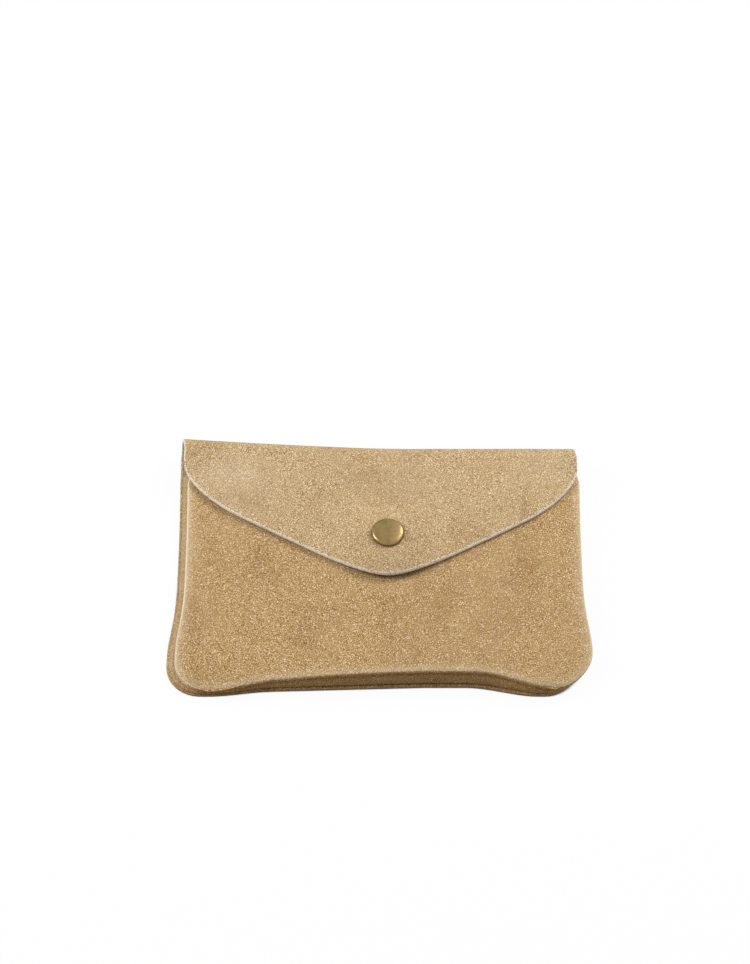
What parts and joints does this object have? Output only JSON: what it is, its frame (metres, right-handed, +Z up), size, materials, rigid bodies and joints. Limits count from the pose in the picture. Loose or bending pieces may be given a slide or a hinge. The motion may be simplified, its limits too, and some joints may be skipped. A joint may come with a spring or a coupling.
{
  "type": "wristlet wallet",
  "caption": "Soft suede envelope wallet lying on its back: gusseted body, V-shaped flap on a rolled fold, press snap at the tip, and a zipped inner pocket.",
  "frame": {"origin": "middle of the wallet's outline, on the table under its back panel", "axes": "+X across the wallet, to the right in the picture; +Y from its bottom edge to the fold; +Z up from the back panel to the flap"},
  "size_m": [0.1562, 0.11, 0.0197],
  "materials": {
    "tan_suede": "napped suede, tan",
    "flap_suede": "napped suede, tan, brushed lighter",
    "lining_cloth": "plain woven cotton lining",
    "sewing_thread": "twisted polyester thread",
    "zip_tape_cloth": "woven zip tape",
    "aged_brass": "aged, satin",
    "spring_steel": "bright wire"
  },
  "bodies": {
    "back": {"back_panel": "tan_suede", "flap_fold": "flap_suede", "gusset_back_half": "tan_suede", "back_seam_thread": "sewing_thread", "pocket_back_wall": "lining_cloth", "pocket_front_wall": "lining_cloth", "zip_tape_upper": "zip_tape_cloth", "zip_tape_lower": "zip_tape_cloth", "zip_teeth_upper": "aged_brass", "zip_teeth_lower": "aged_brass", "zip_bottom_stop": "aged_brass", "zip_top_stop_upper": "aged_brass", "zip_top_stop_lower": "aged_brass"},
    "front": {"front_panel": "tan_suede", "gusset_front_half": "tan_suede", "front_seam_thread": "sewing_thread", "snap_stud": "aged_brass", "snap_eyelet": "aged_brass"},
    "flap": {"flap": "flap_suede", "snap_cap": "aged_brass", "snap_socket": "aged_brass", "snap_spring": "spring_steel"},
    "slider": {"zip_slider": "aged_brass", "zip_pull": "tan_suede"}
  },
  "joints": [
    {"name": "flap_hinge", "type": "hinge", "parent": "back", "child": "flap", "pos_m": [0, 0.055, 0.006], "axis": [-1, 0, 0], "range_deg": [0, 170], "deforming": ["flap_fold", "snap_spring"]},
    {"name": "mouth", "type": "hinge", "parent": "back", "child": "front", "pos_m": [0, -0.055, 0.0026], "axis": [1, 0, 0], "range_deg": [0, 10]},
    {"name": "zip_slide", "type": "slide", "parent": "back", "child": "slider", "axis": [1, 0, 0], "range_m": [0, 0.098], "deforming": ["zip_teeth_upper", "zip_teeth_lower"]}
  ],
  "couplings": [
    {"joint": "mouth", "follows": "flap_hinge", "ratio": 0.0588}
  ]
}
